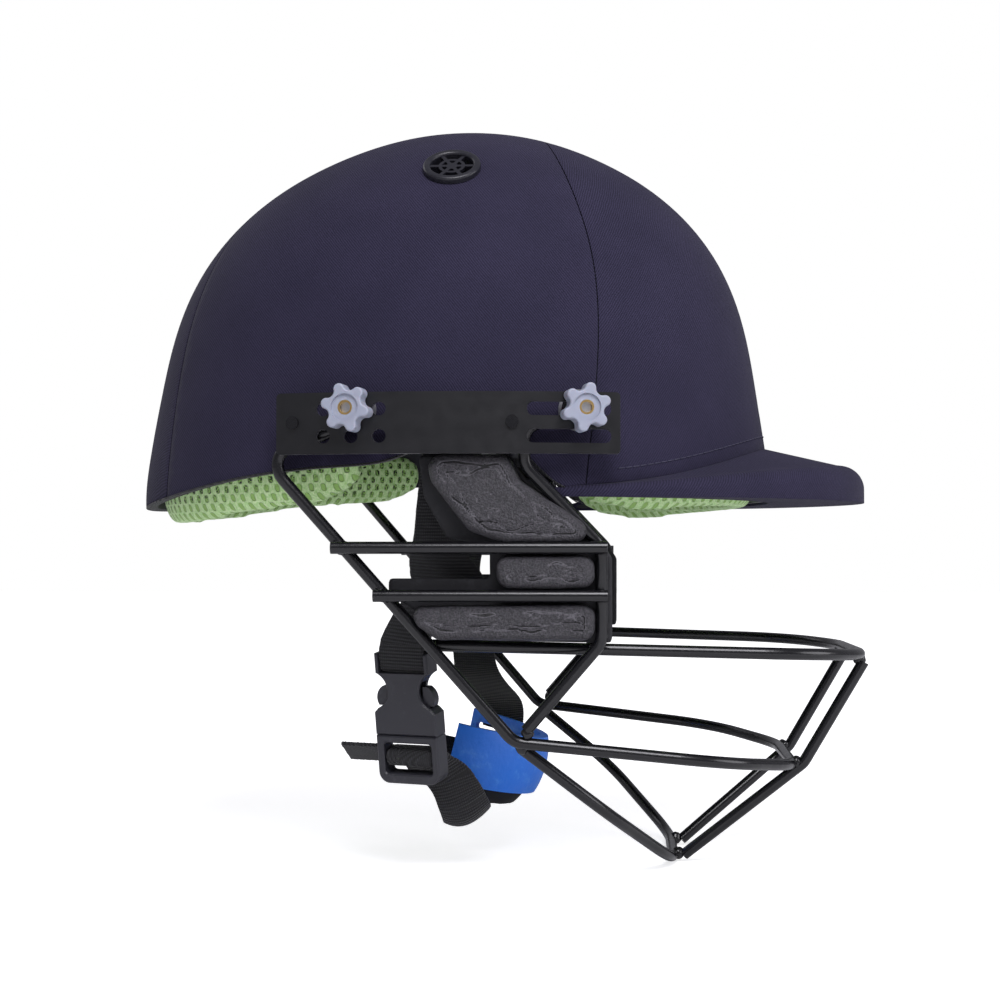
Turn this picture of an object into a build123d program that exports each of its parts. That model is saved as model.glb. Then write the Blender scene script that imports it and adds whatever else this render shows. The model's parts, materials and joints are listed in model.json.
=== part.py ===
from build123d import *
import os
from math import asin, atan2, cos, degrees, radians, sin, sqrt

# Cricket helmet: a cloth-covered hard shell with a peak, a welded wire face guard that two
# side plates and four star knobs hold, cheek foam, and a chin strap with a buckle and a cup.
# Millimetres. X points forward, Y to the wearer's left, Z up. The origin is the middle of the
# head opening, and the wearer's right side has negative Y.

os.makedirs("parts", exist_ok=True)

# Shell
shell_length = 267.0
shell_width = 216.0
crown_height = 153.0
crown_lean = 6.0
shell_wall = 3.0
cloth = 1.2
seam_gap = 0.4
fit_gap = 0.3
glue_gap = 0.1
overrun = 20.0
# Shares of the crown height, then of the half length and half width, from below the rim up.
dome_shares = (
    (-0.12, 1.0), (0.08, 0.995), (0.25, 0.963), (0.39, 0.932), (0.52, 0.886), (0.635, 0.818),
    (0.735, 0.727), (0.82, 0.615), (0.89, 0.485), (0.945, 0.345), (0.98, 0.21), (0.997, 0.085),
)
# The rim seen from the side: shares of the half length and of the crown height.
rim_middle_share = 0.085
rim_shares = (
    (-1.2, -0.075), (-0.93, -0.05), (-0.62, 0.0), (-0.27, 0.03), (-0.12, 0.045), (0.0, rim_middle_share),
    (0.12, 0.1), (0.24, 0.075), (0.36, -0.015), (0.6, -0.037), (0.85, -0.042), (1.2, -0.042),
)
front_seam_shares = (
    (0.24, 1.05), (0.33, 0.9), (0.40, 0.75), (0.455, 0.58), (0.475, 0.36), (0.46, 0.15), (0.43, -0.13),
)
rear_seam_shares = ((-0.3, 1.05), (-0.62, 0.8), (-0.78, 0.5), (-0.84, 0.2), (-0.86, -0.13))
rim_tape = 0.8
rim_tape_height = 3.0

# Peak
peak_reach = 41.0
peak_width = 203.0
peak_root_height = 22.5
peak_tip_height = 3.0
peak_nose_share = 0.6
peak_lip_share = 0.2
peak_nose_run_share = 0.19
peak_root_depth = 6.0
peak_angles = (-88, -72, -50, -25, 0, 25, 50, 72, 88)

# Crown vents
vent_radius = 11.7
vent_height = 2.6
vent_round = 1.1
vent_throat = 17.4
vent_stem_wall = 0.9
vent_stem_depth = 6.5
vent_spokes = 6
vent_spoke_width = 1.5
vent_spoke_height = 1.5
vent_inner_ring = 5.4
vent_inner_ring_width = 1.3
vent_hub = 2.3
vent_sink = 0.3
vent_level = 7

# Linings
liner_foam = 10.0
liner_bottom = 24.0
notch_width = 30.0
notch_top = 35.0
band_foam = 14.0
band_top = 21.5
nape_angles = (103, 112, 128, 150, 165, 180, 195, 210, 232, 248, 257)
brow_angles = (-67, -58, -40, -20, 0, 20, 40, 58, 67)
nape_drops = (2.0, 4.0, 7.0, 12.5, 15.0, 15.5, 17.0, 17.5, 13.5, 9.5, 7.0)
brow_drops = (8.0, 11.0, 12.0, 10.5, 10.0, 10.5, 12.0, 11.0, 8.0)
band_end_share = 0.45
crown_pad_foam = 10.0
crown_pad_length = 120.0
crown_pad_width = 92.0

# Side plates
plate_length = 131.0
plate_middle = 6.5
plate_bottom = 8.2
plate_height = 23.4
plate_thickness = 2.0
plate_bow = 260.0
plate_stand_off = 6.6
plate_corner = 1.6
plate_corner_lean = 20.0
hole_diameter = 5.2
hole_pitch = 10.8
holes_in_row = 3
lower_row = 14.9
upper_row = 25.2
rear_screw_x = -29.5
front_screw_x = 57.5
slot_length = 31.5
slot_width = 5.2
slot_middle = 52.8
slot_round = 2.3
rivet_rear_x = -52.0
rivet_front_x = 31.2
rivet_row = 20.2
rivet_shaft = 4.0
rivet_head = 4.8
rivet_head_height = 1.0
spacer_diameter = 7.5

# Star knobs and their screws
knob_reach = 9.4
knob_core = 6.6
knob_lobes = 6
lobe_radius = 2.1
valley_radius = 2.2
knob_height = 7.5
knob_round = 0.8
knob_foot_radius = 5.6
knob_foot_height = 1.2
knob_dish_radius = 5.2
knob_dish_depth = 0.9
insert_radius = 2.8
screw_diameter = 4.0
thread_gap = 0.05
screw_end_below = 2.4
screw_head_radius = 3.6
screw_head_height = 1.2
washer_radius = 8.0
washer_thickness = 0.8
rear_knob_turn = 12.0
front_knob_turn = 41.0

# Face guard
rod_diameter = 4.7
joint_touch = 0.05
grille_reach = 174.0
grille_half_width = 100.0
grille_drop = 158.0
# The plane of each side's rods: half width at the rim, and how much it narrows per unit drop.
side_half_width = 105.0
side_draft_share = 0.1
eye_radius = 4.9
eye_swell = 0.1
clamp_gap = 0.15
wire_bend = 7.0
corner_bend = 9.0
# Shares of the grille's reach, half width and drop.
rear_strut_shares = ((-0.345, -0.06), (-0.338, -0.005), (0.178, 0.645))
middle_front_shares = ((0.655, 0.84, 0.7), (0.815, 0.44, 0.73))
top_bar_shares = ((-0.004, 0.41), (0.855, 0.435), (0.975, 0.445))
top_bar_width_shares = (0.0, 0.77, 0.44)
chin_bar_shares = ((0.196, 0.665), (0.375, 0.82), (0.535, 0.985))
chin_bar_width_shares = (0.0, 0.82, 0.36)
front_strut_shares = ((0.204, -0.126), (0.206, -0.026), (0.372, 0.168), (0.372, 0.4), (0.205, 0.615))
upper_cheek_z_share = 0.172
lower_cheek_z_share = 0.288
cheek_bar_overhang = 4.0
front_bend = 45.0
stay_top_width_share = 0.36
stay_middle_width_share = 0.345
stay_bottom_width_share = 0.21
stay_top_overlap_share = 0.3
stay_bend = 8.0

# Cheek foam
sheet_foam = 2.6
sheet_corner = 1.5
pad_foam = 8.0
pad_corner = 4.0
pad_round = 2.6
# Outlines in the side plane: shares of the grille's reach and drop.
sheet_shares = (
    (-0.03, -0.05), (0.17, -0.05), (0.215, 0.02), (0.265, 0.058), (0.36, 0.14), (0.395, 0.2), (0.395, 0.391),
    (0.03, 0.387), (-0.1, 0.285), (-0.1, 0.25), (0.125, 0.25), (0.125, 0.17), (0.03, 0.15), (-0.02, 0.05),
)
upper_pad_shares = (
    (-0.005, -0.048), (0.155, -0.048), (0.175, 0.015), (0.333, 0.1535), (0.14, 0.1535), (0.075, 0.125),
    (0.005, 0.01),
)
middle_pad_shares = ((0.148, 0.196), (0.352, 0.196), (0.352, 0.264), (0.148, 0.264))
lower_pad_shares = ((-0.055, 0.318), (0.35, 0.314), (0.35, 0.39), (0.025, 0.39))

# Chin strap
web_width = 20.0
web_thickness = 1.6
web_cuts = 20
pivot_x = 6.0
pivot_inset = 4.0
strap_rivet_diameter = 4.0
strap_rivet_head = 3.8
strap_rivet_gap = 1.7
pivot_z = rim_middle_share * crown_height + rim_tape_height + strap_rivet_head + strap_rivet_gap
strap_rivet_head_height = 1.2
web_fold_length = 15.0
web_bend_share = 0.97
buckle_x = -12.0
buckle_half_width = 71.0
buckle_z = -101.0
buckle_turn = 22.0
buckle_width = 27.4
buckle_thickness = 8.0
buckle_chamfer = 0.6
socket_height = 33.0
socket_grip = 9.0
socket_step = 1.8
socket_waist = 14.4
socket_waist_height = 18.5
socket_ear_width = 24.0
socket_ear_height = 8.0
socket_cavity_depth = 4.4
socket_cavity_width = 22.4
socket_cavity_height = 21.5
socket_bar = 3.0
socket_bar_height = 4.4
plug_height = 19.5
plug_window_width = 21.4
plug_window_height = 12.6
plug_rail = 3.0
plug_bar = 3.6
plug_window_corner = 1.5
plug_corner = 4.5
tongue_width = 5.0
tongue_height = 17.0
prong_pivot_share = 0.66
prong_pivot_height = 1.6
prong_boss = 1.5
lug_height = 2.7
prong_stem = 2.0
prong_height = 19.5
prong_catch = 12.2
prong_catch_level = 11.7
prong_bulge = 12.9
prong_bulge_level = 15.5
running_gap = 0.06
# The near strap bows forward on its way down to the buckle.
right_web_point = (1.5, -81.5, -35.0)
# The far strap on its way down to the cup.
left_web_points = ((4.5, 91.5, -20.0), (2.8, 83.5, -53.0), (1.5, 75.0, -83.0))
# The loop of webbing between the buckle and the cup: points, then the way its width lies.
loop_points = ((2.0, -57.0, -121.0), (7.0, -53.0, -133.0), (8.5, -48.0, -139.5), (6.5, -40.0, -138.5))
loop_widths = ((0.88, -0.2, 0.4), (0.93, -0.05, 0.3), (0.97, 0.0, 0.22), (0.97, 0.1, 0.1))
loop_start_drop = 0.6
loop_start_gap = 1.2
loop_start_slope = 0.7
tail_length = 42.0
tail_cut = 6.0
tail_drop = 10.8
tail_depth = 16.6

# Chin cup
cup_x = -2.0
cup_z = -110.8
cup_radius = 42.0
cup_height = 24.5
cup_wall = 3.4
cup_bow = 36.5
cup_span = 170.0
cup_lean = 14.0
cup_slot_width = 3.4
cup_slot_inset = 7.0
cup_slot_edge = 4.0
slot_end_share = 0.45
cup_web_angle = -76.0
cup_web_below = 3.5
cup_web_above = 6.0
cup_pad_foam = 5.0
cup_pad_below = 7.0
cup_pad_span = 112.0

half_length = shell_length / 2
half_width = shell_width / 2
rod_radius = rod_diameter / 2


def finish(piece, name):
    """Labels a finished piece and writes its file."""
    piece.label = name
    export_step(piece, f"parts/{name}.step")
    return piece


def turned(plane, angle):
    """A plane turned in itself by degrees."""
    c, s = cos(radians(angle)), sin(radians(angle))
    return Plane(origin=plane.origin, x_dir=plane.x_dir * c + plane.y_dir * s, z_dir=plane.z_dir)


def mirrored(piece):
    """The same piece for the other side of the helmet."""
    with BuildPart() as twin:
        mirror(piece, about=Plane.XZ)
    return twin.part


def dome(proud):
    """The egg-shaped dome, grown by proud from the shell's outer face."""
    with BuildPart() as body:
        for height_share, reach_share in dome_shares:
            with BuildSketch(Plane.XY.offset(height_share * (crown_height + proud))):
                with Locations((crown_lean * max(height_share, 0) ** 2, 0)):
                    Ellipse(reach_share * (half_length + proud), reach_share * (half_width + proud))
        loft()
    return body.part


def side_prism(points, closing, shift_x=0.0, shift_z=0.0):
    """A prism across the helmet whose edge follows a curve seen from the side."""
    line = [(x * half_length + shift_x, z * crown_height + shift_z) for x, z in points]
    with BuildPart() as prism:
        with BuildSketch(Plane.XZ):
            with BuildLine():
                Spline(*line)
                Polyline(line[-1], *closing, line[0])
            make_face()
        extrude(amount=half_width + overrun, both=True)
    return prism.part


def below_rim(raise_by):
    """Everything under the rim, with the rim's curve raised by raise_by."""
    low = -crown_height
    ends = (rim_shares[-1][0] * half_length, low), (rim_shares[0][0] * half_length, low)
    return side_prism(rim_shares, ends, 0, raise_by)


def ahead_of(seam_shares, shift):
    """Everything in front of a cover seam."""
    far = half_length + peak_reach + overrun
    high = seam_shares[0][1] * crown_height
    low = seam_shares[-1][1] * crown_height
    return side_prism(seam_shares, ((far, low), (far, high)), shift)


def ellipse_reach(angle, long_half, short_half, centre_x=0.0, from_x=0.0):
    """How far an ellipse lies from a point on the X axis, in a direction given in degrees."""
    c, s = cos(radians(angle)), sin(radians(angle))
    a = (c / long_half) ** 2 + (s / short_half) ** 2
    b = 2 * (from_x - centre_x) * c / long_half**2
    e = ((from_x - centre_x) / long_half) ** 2 - 1
    return (-b + sqrt(b * b - 4 * a * e)) / (2 * a)


def peak_bottom():
    return rim_shares[-1][1] * crown_height


def peak_solid(proud):
    """The peak as a loft of upright wedge sections that fan out around the brow."""
    origin_x = peak_reach
    with BuildPart() as body:
        for angle in peak_angles:
            inner = ellipse_reach(angle, half_length, half_width, 0, origin_x) - peak_root_depth
            outer = ellipse_reach(angle, half_length, peak_width / 2, peak_reach, origin_x) + proud
            height = peak_tip_height + (peak_root_height - peak_tip_height) * cos(radians(angle)) ** 2
            bottom = peak_bottom() - proud
            nose_top = bottom + peak_nose_share * height + 2 * proud
            nose_back = outer - peak_nose_run_share * (outer - inner) - proud
            lip = bottom + peak_lip_share * height + proud
            out = Vector(cos(radians(angle)), sin(radians(angle)), 0)
            plane = Plane(origin=(origin_x, 0, 0), x_dir=out, z_dir=out.cross(Vector(0, 0, 1)))
            with BuildSketch(plane):
                with BuildLine():
                    Line((inner, bottom), (outer, bottom))
                    Line((outer, bottom), (outer, lip))
                    TangentArc((outer, lip), (nose_back, nose_top), tangent=(0, 1))
                    Line((nose_back, nose_top), (inner, bottom + height + 2 * proud))
                    Line((inner, bottom + height + 2 * proud), (inner, bottom))
                make_face()
        loft()
    return body.part


def vent_plane(side):
    """Where a crown vent sits: on the dome, facing straight out."""
    height_share, reach_share = dome_shares[vent_level]
    over, under = dome_shares[vent_level + 1], dome_shares[vent_level - 1]
    fall = (over[1] - under[1]) * (half_width + cloth)
    rise = (over[0] - under[0]) * (crown_height + cloth)
    middle = Vector(
        crown_lean * height_share**2,
        side * reach_share * (half_width + cloth),
        height_share * (crown_height + cloth),
    )
    return Plane(origin=middle, x_dir=(1, 0, 0), z_dir=(0, side * rise, -fall))


def vent_hole(side):
    with BuildPart() as hole:
        with BuildSketch(vent_plane(side)):
            Circle(vent_throat / 2 + vent_stem_wall + fit_gap)
        extrude(amount=overrun, both=True)
    return hole.part


# Shell and cover
shell_dome = dome(0)
cloth_dome = dome(cloth)
inner_dome = dome(-shell_wall)
glued_dome = dome(glue_gap)
under_rim = below_rim(0)
vent_holes = vent_hole(-1), vent_hole(1)

with BuildPart() as shell:
    add(shell_dome)
    add(inner_dome, mode=Mode.SUBTRACT)
    add(under_rim, mode=Mode.SUBTRACT)
    for hole in vent_holes:
        add(hole, mode=Mode.SUBTRACT)
finish(shell.part, "shell")

peak_core_form = peak_solid(0)
peak_skin_form = peak_solid(cloth)

with BuildPart() as peak:
    add(peak_core_form)
    add(glued_dome, mode=Mode.SUBTRACT)
finish(peak.part, "peak")

with BuildPart() as peak_cover:
    add(peak_skin_form)
    add(peak_solid(glue_gap), mode=Mode.SUBTRACT)
    add(glued_dome, mode=Mode.SUBTRACT)
finish(peak_cover.part, "peak_cover")

with BuildPart() as cover:
    add(cloth_dome)
    add(glued_dome, mode=Mode.SUBTRACT)
    add(under_rim, mode=Mode.SUBTRACT)
    add(peak_solid(cloth + glue_gap), mode=Mode.SUBTRACT)
    for hole in vent_holes:
        add(hole, mode=Mode.SUBTRACT)

with BuildPart() as cover_front:
    add(cover.part)
    add(ahead_of(front_seam_shares, seam_gap / 2), mode=Mode.INTERSECT)
finish(cover_front.part, "cover_front")

with BuildPart() as cover_rear:
    add(cover.part)
    add(ahead_of(rear_seam_shares, -seam_gap / 2), mode=Mode.SUBTRACT)
finish(cover_rear.part, "cover_rear")

with BuildPart() as cover_right:
    add(cover.part)
    add(ahead_of(front_seam_shares, -seam_gap / 2), mode=Mode.SUBTRACT)
    add(ahead_of(rear_seam_shares, seam_gap / 2), mode=Mode.INTERSECT)
    with BuildSketch(Plane.XY.offset(-crown_height / 2)):
        with Locations((0, half_width + seam_gap / 2)):
            Rectangle(2 * shell_length, 2 * half_width + 2 * seam_gap)
    extrude(amount=2 * crown_height, mode=Mode.SUBTRACT)
finish(cover_right.part, "cover_right")
finish(mirrored(cover_right.part), "cover_left")

taped_dome = dome(-shell_wall - rim_tape)
under_tape = below_rim(-rim_tape)
with BuildPart() as rim_binding:
    add(dome(-shell_wall - glue_gap))
    add(taped_dome, mode=Mode.SUBTRACT)
    add(below_rim(rim_tape_height), mode=Mode.INTERSECT)
    add(under_tape, mode=Mode.SUBTRACT)
with BuildPart() as rim_edge:
    add(cloth_dome)
    add(taped_dome, mode=Mode.SUBTRACT)
    add(below_rim(-glue_gap), mode=Mode.INTERSECT)
    add(under_tape, mode=Mode.SUBTRACT)
with rim_binding:
    add(rim_edge.part)
    add(peak_solid(cloth + glue_gap), mode=Mode.SUBTRACT)
finish(rim_binding.part, "rim_binding")


def crown_vent(side):
    """A grommet: a rounded flange, a throat through the shell, and a spoked grille."""
    plane = vent_plane(side).offset(-vent_sink)
    throat = vent_throat / 2
    with BuildPart() as vent:
        with BuildSketch(plane):
            Circle(vent_radius)
            Circle(throat, mode=Mode.SUBTRACT)
        extrude(amount=vent_height)
        outward = Axis(plane.origin, plane.z_dir)
        fillet(vent.edges().filter_by(GeomType.CIRCLE).group_by(outward)[-1], vent_round)
        with BuildSketch(plane):
            Circle(throat + vent_stem_wall)
            Circle(throat, mode=Mode.SUBTRACT)
        extrude(amount=-vent_stem_depth)
        with BuildSketch(plane):
            Circle(vent_inner_ring)
            Circle(vent_inner_ring - vent_inner_ring_width, mode=Mode.SUBTRACT)
            Circle(vent_hub)
            with PolarLocations(throat / 2, vent_spokes):
                Rectangle(throat + vent_spoke_width, vent_spoke_width)
        extrude(amount=vent_spoke_height)
    return vent.part


finish(crown_vent(-1), "crown_vent_right")
finish(crown_vent(1), "crown_vent_left")

# Linings
liner_outer = shell_wall + fit_gap
liner_inner = liner_outer + liner_foam
liner_inner_dome = dome(-liner_inner)
with BuildPart() as impact_liner:
    add(dome(-liner_outer))
    add(liner_inner_dome, mode=Mode.SUBTRACT)
    with BuildSketch(Plane.XY.offset(liner_bottom)):
        Rectangle(2 * shell_length, 2 * shell_width)
    extrude(amount=-crown_height, mode=Mode.SUBTRACT)
    for hole in vent_holes:
        add(hole, mode=Mode.SUBTRACT)
    with BuildSketch(Plane.XZ):
        with Locations((pivot_x, liner_bottom)):
            Rectangle(notch_width, 2 * (notch_top - liner_bottom))
    extrude(amount=half_width, both=True, mode=Mode.SUBTRACT)
finish(impact_liner.part, "impact_liner")

with BuildPart() as crown_pad:
    add(dome(-liner_inner - fit_gap))
    add(dome(-liner_inner - fit_gap - crown_pad_foam), mode=Mode.SUBTRACT)
    with BuildSketch(Plane.XY.offset(crown_height / 2)):
        Ellipse(crown_pad_length / 2, crown_pad_width / 2)
    extrude(amount=crown_height, mode=Mode.INTERSECT)
finish(crown_pad.part, "crown_pad")


def head_band(angles, drops, gap):
    """A soft roll around part of the head opening: oval sections, drawn in at both ends."""
    inset = shell_wall + gap + band_foam / 2
    long_half = half_length - inset
    short_half = half_width - inset
    with BuildPart() as band:
        for place, angle in enumerate(angles):
            x, y = long_half * cos(radians(angle)), short_half * sin(radians(angle))
            out = Vector(short_half * cos(radians(angle)), long_half * sin(radians(angle)), 0).normalized()
            at_end = place in (0, len(angles) - 1)
            size = band_end_share if at_end else 1
            tall = (band_top + drops[place]) * size
            middle = (band_top - drops[place]) / 2
            plane = Plane(origin=(x, y, middle), x_dir=out, z_dir=out.cross(Vector(0, 0, 1)))
            with BuildSketch(plane):
                Ellipse(band_foam / 2 * size, tall / 2)
        loft()
    return band.part


finish(head_band(nape_angles, nape_drops, rim_tape + 2 * fit_gap), "nape_pad")
finish(head_band(brow_angles, brow_drops, fit_gap), "brow_pad")

# Side plates
plate_centre_y = plate_bow - half_width - plate_stand_off


def plate_face(x):
    """Half width of the plate's inner face at a place along it."""
    return sqrt(plate_bow**2 - x**2) - plate_centre_y


def across(x, z, half=0.0, side=-1):
    """A plane at a point beside the helmet, facing straight out sideways."""
    return Plane(origin=(x, side * half, z), x_dir=(-side, 0, 0), z_dir=(0, side, 0))


def plate_plane(x, z, out=0.0, side=-1):
    """A plane square to the bowed plate, measured outward from its inner face."""
    lean = asin(x / plate_bow)
    reach = plate_bow + out
    return Plane(
        origin=(reach * sin(lean), side * (reach * cos(lean) - plate_centre_y), z),
        x_dir=(-side * cos(lean), sin(lean), 0),
        z_dir=(sin(lean), side * cos(lean), 0),
    )


with BuildPart() as side_plate:
    with BuildSketch(Plane.XY.offset(plate_bottom)):
        with Locations((0, plate_centre_y)):
            Circle(plate_bow + plate_thickness)
            Circle(plate_bow, mode=Mode.SUBTRACT)
        with Locations((plate_middle, -half_width)):
            Rectangle(plate_length, half_width, mode=Mode.INTERSECT)
    extrude(amount=plate_height)
    corner_edges = side_plate.edges().filter_by(Axis.Y, tolerance=plate_corner_lean).filter_by(GeomType.LINE)
    fillet(corner_edges, plate_corner)
    with BuildSketch(Plane.XZ.offset(half_width)):
        with Locations((rear_screw_x, upper_row), (rear_screw_x, lower_row)):
            with GridLocations(hole_pitch, 0, holes_in_row, 1):
                Circle(hole_diameter / 2)
        with Locations((slot_middle, upper_row), (slot_middle, lower_row)):
            RectangleRounded(slot_length, slot_width, slot_round)
    extrude(amount=overrun, both=True, mode=Mode.SUBTRACT)
    for x in (rivet_rear_x, rivet_front_x):
        with BuildSketch(plate_plane(x, rivet_row, -fit_gap)):
            Circle(rivet_shaft / 2 + thread_gap)
        extrude(amount=plate_thickness + 2 * fit_gap, mode=Mode.SUBTRACT)
finish(side_plate.part, "side_plate_right")
finish(mirrored(side_plate.part), "side_plate_left")


def shell_half(x, z, proud=0.0):
    """Half width of the dome at a height, between the listed levels."""
    share = z / crown_height
    for low, high in zip(dome_shares, dome_shares[1:]):
        if low[0] <= share <= high[0]:
            reach = low[1] + (high[1] - low[1]) * (share - low[0]) / (high[0] - low[0])
            return reach * (half_width + proud) * sqrt(1 - (x / (reach * (half_length + proud))) ** 2)
    return 0.0


with BuildPart() as plate_rivets_one_side:
    for x in (rivet_rear_x, rivet_front_x):
        with BuildSketch(plate_plane(x, rivet_row, plate_thickness + thread_gap)):
            Circle(rivet_head / 2 + thread_gap)
        extrude(amount=rivet_head_height)
        with BuildSketch(plate_plane(x, rivet_row, -fit_gap)):
            Circle(rivet_shaft / 2)
        extrude(amount=plate_thickness + 2 * fit_gap)
        with BuildSketch(plate_plane(x, rivet_row, -fit_gap)):
            Circle(spacer_diameter / 2)
        extrude(amount=shell_half(x, rivet_row) - plate_face(x))
    add(cloth_dome, mode=Mode.SUBTRACT)
with BuildPart() as plate_rivets:
    add(plate_rivets_one_side.part)
    mirror(plate_rivets_one_side.part, about=Plane.XZ)
finish(plate_rivets.part, "plate_rivets")


# Star knobs, inserts, screws and washers
def star_knob(plane):
    face = knob_foot_height + knob_height
    with BuildPart() as knob:
        with BuildSketch(plane.offset(knob_foot_height)) as outline:
            Circle(knob_core)
            with PolarLocations(knob_reach - lobe_radius, knob_lobes):
                Circle(lobe_radius)
            fillet(outline.vertices(), valley_radius)
        extrude(amount=knob_height)
        outward = Axis(plane.origin, plane.z_dir)
        fillet(knob.faces().sort_by(outward)[-1].edges(), knob_round)
        with BuildSketch(plane):
            Circle(knob_foot_radius)
        extrude(amount=knob_foot_height)
        with BuildSketch(plane.offset(face)):
            Circle(knob_dish_radius)
        extrude(amount=-knob_dish_depth, mode=Mode.SUBTRACT)
        with BuildSketch(plane):
            Circle(insert_radius)
        extrude(amount=face, mode=Mode.SUBTRACT)
    return knob.part


def knob_insert(plane):
    with BuildPart() as insert:
        with BuildSketch(plane):
            Circle(insert_radius)
            Circle(screw_diameter / 2 + thread_gap, mode=Mode.SUBTRACT)
        extrude(amount=knob_foot_height + knob_height - knob_dish_depth)
    return insert.part


knob_places = (
    ("rear", rear_screw_x, rear_knob_turn),
    ("front", front_screw_x, front_knob_turn),
)
for end, x, turn in knob_places:
    for hand, side in (("right", -1), ("left", 1)):
        seat = plate_plane(x, upper_row, plate_thickness + running_gap, side)
        knob_plane = turned(seat, side * turn)
        finish(star_knob(knob_plane), f"star_knob_{end}_{hand}")
        finish(knob_insert(knob_plane), f"knob_insert_{end}_{hand}")

washer_level = -rod_diameter - 3 * fit_gap - washer_thickness
screw_tip = plate_thickness + knob_foot_height + knob_height - screw_end_below
with BuildPart() as screws_one_side:
    for end, x, turn in knob_places:
        with BuildSketch(plate_plane(x, upper_row, washer_level)):
            Circle(screw_diameter / 2)
        extrude(amount=screw_tip - washer_level)
        with BuildSketch(plate_plane(x, upper_row, washer_level)):
            Circle(screw_head_radius)
        extrude(amount=-screw_head_height)
with BuildPart() as clamp_screws:
    add(screws_one_side.part)
    mirror(screws_one_side.part, about=Plane.XZ)
finish(clamp_screws.part, "clamp_screws")

with BuildPart() as washers_one_side:
    for end, x, turn in knob_places:
        with BuildSketch(plate_plane(x, upper_row, washer_level + running_gap)):
            Circle(washer_radius)
            Circle(screw_diameter / 2 + thread_gap, mode=Mode.SUBTRACT)
        extrude(amount=washer_thickness)
    add(cloth_dome, mode=Mode.SUBTRACT)
with BuildPart() as clamp_washers:
    add(washers_one_side.part)
    mirror(washers_one_side.part, about=Plane.XZ)
finish(clamp_washers.part, "clamp_washers")


# Face guard
def side_half(z):
    """Half width of the plane that holds each side's struts, at a height."""
    return side_half_width + side_draft_share * z


def wire(points, bends):
    """A round rod along straight runs joined by bends."""
    with BuildPart() as rod:
        with BuildLine() as route:
            FilletPolyline(*points, radius=bends)
        with BuildSketch(Plane(origin=route.wire() @ 0, z_dir=route.wire() % 0)):
            Circle(rod_radius)
        sweep()
    return rod.part


def rod_plane(x):
    """The plane of a rod's centre line against the plate, at a clamp screw."""
    return plate_plane(x, upper_row, -rod_radius - clamp_gap)


def eye(x):
    """The closed ring at a rod's end that a clamp screw passes through."""
    plane = rod_plane(x)
    with BuildPart() as ring:
        with BuildSketch(Plane(origin=plane.origin, x_dir=plane.x_dir, z_dir=-plane.y_dir)):
            with Locations((eye_radius, 0)):
                Circle(rod_radius + eye_swell)
        revolve(axis=Axis(plane.origin, plane.z_dir))
    return ring.part


def rod_half(x):
    """Half width of a rod's centre line where it lies against the plate's inner face."""
    return plate_face(x) - rod_radius - clamp_gap


def eye_start(x, towards):
    """Where the rod leaves its ring, on the way to a point lower down."""
    centre = rod_plane(x).origin
    fall = atan2(centre.Z - eye_radius - towards[2], abs(towards[0] - centre.X))
    back = 1 if towards[0] < centre.X else -1
    return centre.X + back * eye_radius * sin(fall), centre.Y, centre.Z - eye_radius * cos(fall)


rear_corner, rear_bend, low_corner = [(x * grille_reach, -z * grille_drop) for x, z in rear_strut_shares]
middle_side, middle_front = [
    (x * grille_reach, y * grille_half_width, -z * grille_drop) for x, y, z in middle_front_shares
]
rear_turn = (rear_corner[0], -rod_half(rear_corner[0]), rear_corner[1])
right_half = [
    eye_start(rear_screw_x, rear_turn),
    rear_turn,
    (rear_bend[0], -side_half(rear_bend[1]), rear_bend[1]),
    (low_corner[0], -side_half(low_corner[1]), low_corner[1]),
    (middle_side[0], -middle_side[1], middle_side[2]),
    (middle_front[0], -middle_front[1], middle_front[2]),
]
left_half = [(x, -y, z) for x, y, z in reversed(right_half)]
side_bends = [wire_bend, corner_bend, corner_bend, front_bend, front_bend]
middle_rod = wire(right_half + left_half, side_bends + side_bends[::-1])
with BuildPart() as middle_bar:
    add(middle_rod)
    add(eye(rear_screw_x))
    mirror(eye(rear_screw_x), about=Plane.XZ)
finish(middle_bar.part, "grille_middle_bar")

strut_points = [(x * grille_reach, -z * grille_drop) for x, z in front_strut_shares]
strut_turn = (strut_points[0][0], -rod_half(strut_points[0][0]), strut_points[0][1])
strut_route = [
    eye_start(front_screw_x, strut_turn),
    strut_turn,
    (strut_points[1][0], -side_half(strut_points[1][1]) - rod_radius, strut_points[1][1]),
]
for x, z in strut_points[2:]:
    strut_route.append((x, -side_half(z), z))
with BuildPart() as front_strut:
    add(wire(strut_route, [wire_bend, corner_bend, corner_bend, corner_bend]))
    add(eye(front_screw_x))
    add(middle_rod, mode=Mode.SUBTRACT)
finish(front_strut.part, "grille_front_strut_right")
finish(mirrored(front_strut.part), "grille_front_strut_left")


def strut_x(z):
    """Where the rear strut's straight run passes a height."""
    share = (rear_bend[1] - z) / (rear_bend[1] - low_corner[1])
    return rear_bend[0] + (low_corner[0] - rear_bend[0]) * share


def cheek_bar(z, name):
    """A straight rod welded outside both struts of one side."""
    half = side_half(z) + rod_diameter + joint_touch
    start = strut_x(z) - cheek_bar_overhang
    end = strut_points[3][0] + rod_radius
    with BuildPart() as bar:
        with BuildSketch(Plane(origin=(start, -half, z), z_dir=(1, 0, 0))):
            Circle(rod_radius)
        extrude(amount=end - start)
    finish(bar.part, f"{name}_right")
    finish(mirrored(bar.part), f"{name}_left")


cheek_bar(-upper_cheek_z_share * grille_drop, "cheek_bar_upper")
cheek_bar(-lower_cheek_z_share * grille_drop, "cheek_bar_lower")


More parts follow.
